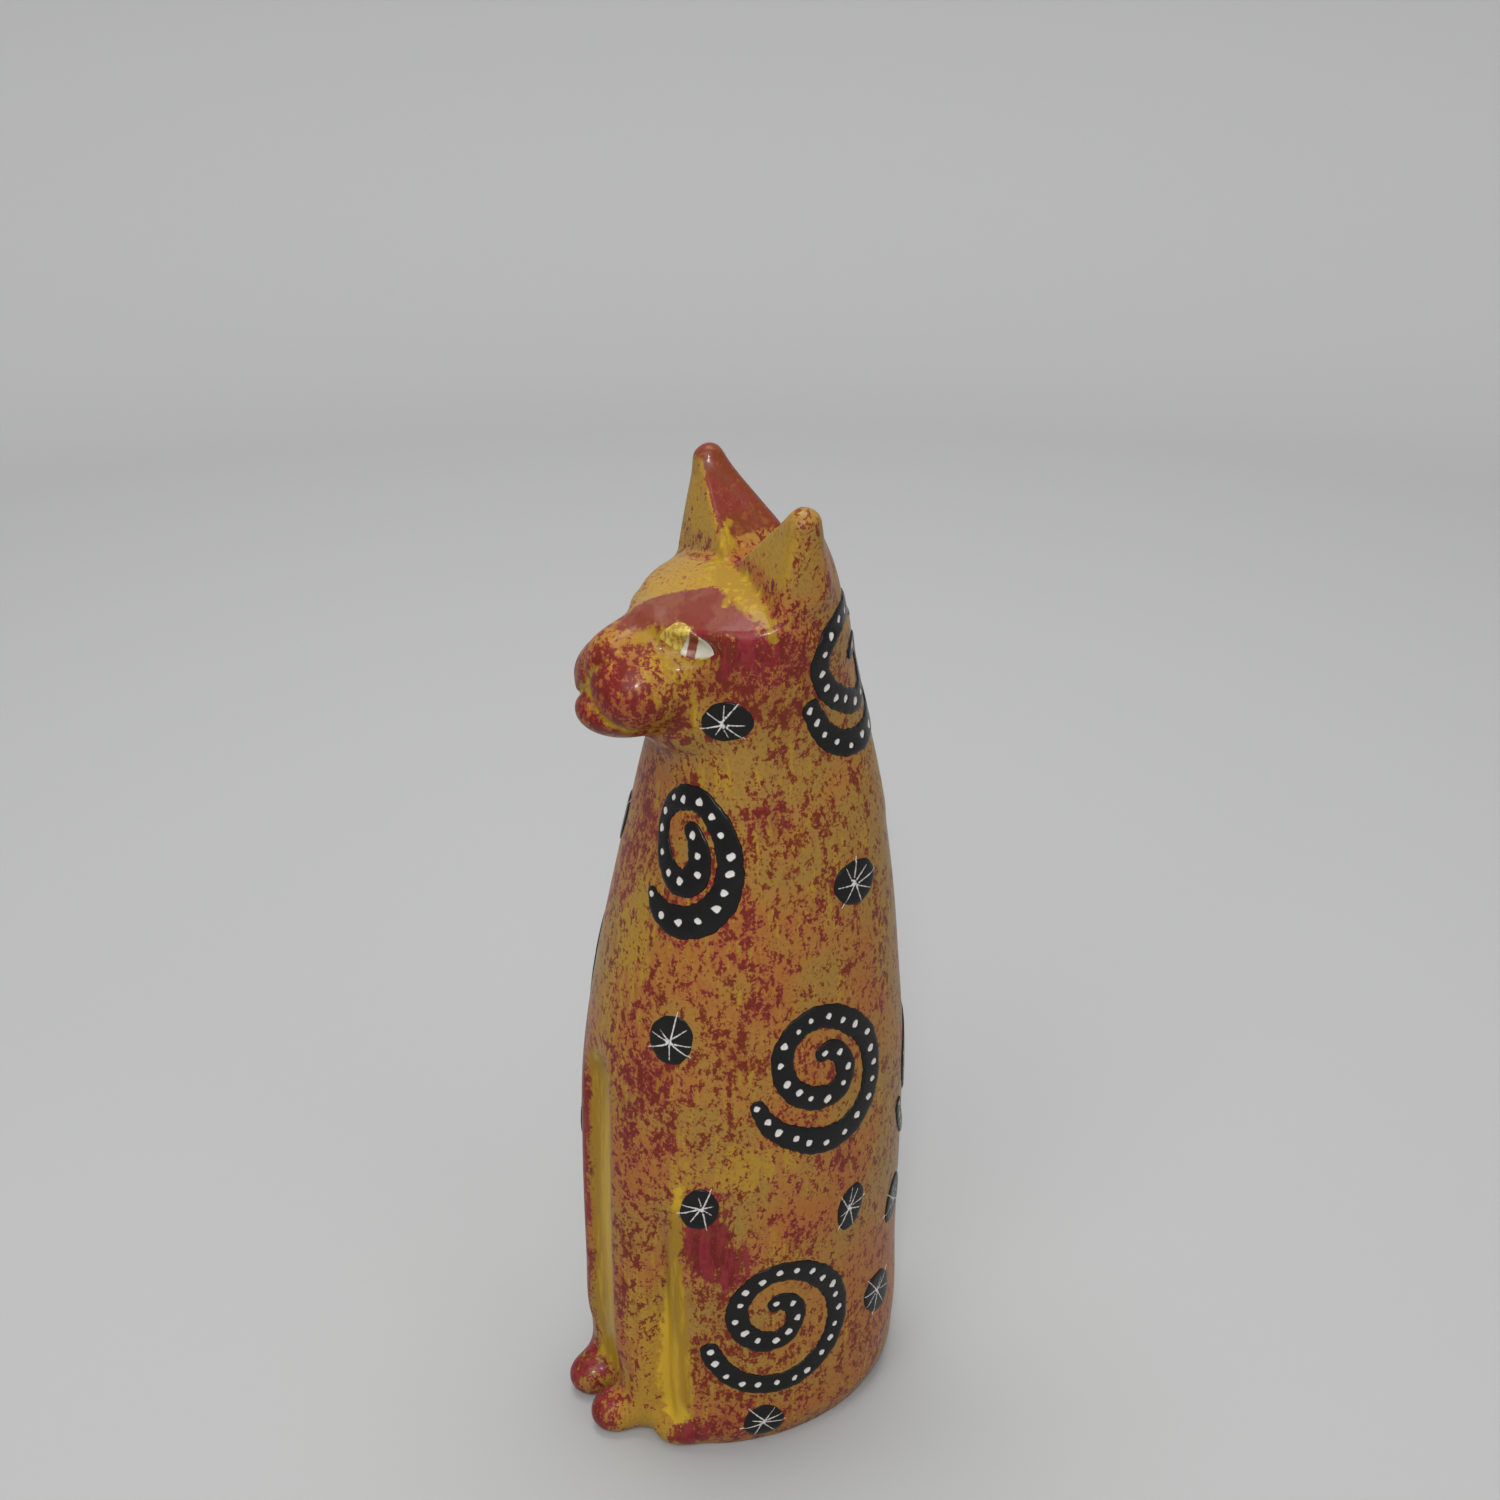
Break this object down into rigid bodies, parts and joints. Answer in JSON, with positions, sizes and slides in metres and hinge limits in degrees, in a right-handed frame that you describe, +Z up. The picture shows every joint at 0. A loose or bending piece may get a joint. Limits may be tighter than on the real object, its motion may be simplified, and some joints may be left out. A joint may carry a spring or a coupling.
{
  "type": "carved cat figure",
  "caption": "Upright seated cat figure, one carved stone block painted ochre and red, with black enamel spirals and star discs.",
  "frame": {"origin": "middle of the footprint's bounding box, on the table under the figure", "axes": "+Z up; the cat faces -Y; +X is the cat's left side"},
  "size_m": [0.0416, 0.0541, 0.15],
  "materials": {
    "dyed_stone": "glossy",
    "bare_stone": "glossy",
    "black_enamel": "glossy"
  },
  "bodies": {
    "root": {"stone_figure": "dyed_stone", "left_eye": "bare_stone", "right_eye": "bare_stone", "spiral_left_chest": "black_enamel", "spiral_left_flank": "black_enamel", "spiral_left_haunch": "black_enamel", "spiral_left_nape": "black_enamel", "spiral_back": "black_enamel", "spiral_right_flank": "black_enamel", "spiral_right_nape": "black_enamel", "spiral_right_haunch": "black_enamel", "star_left_cheek": "black_enamel", "star_left_shoulder": "black_enamel", "star_left_chest": "black_enamel", "star_left_knee": "black_enamel", "star_left_hip": "black_enamel", "star_left_foot": "black_enamel", "star_back_mid": "black_enamel", "star_back_low": "black_enamel", "star_back_high": "black_enamel", "star_right_cheek": "black_enamel", "star_right_chest": "black_enamel", "star_right_knee": "black_enamel", "star_right_shoulder": "black_enamel", "star_right_hip": "black_enamel", "star_right_foot": "black_enamel"}
  },
  "joints": []
}
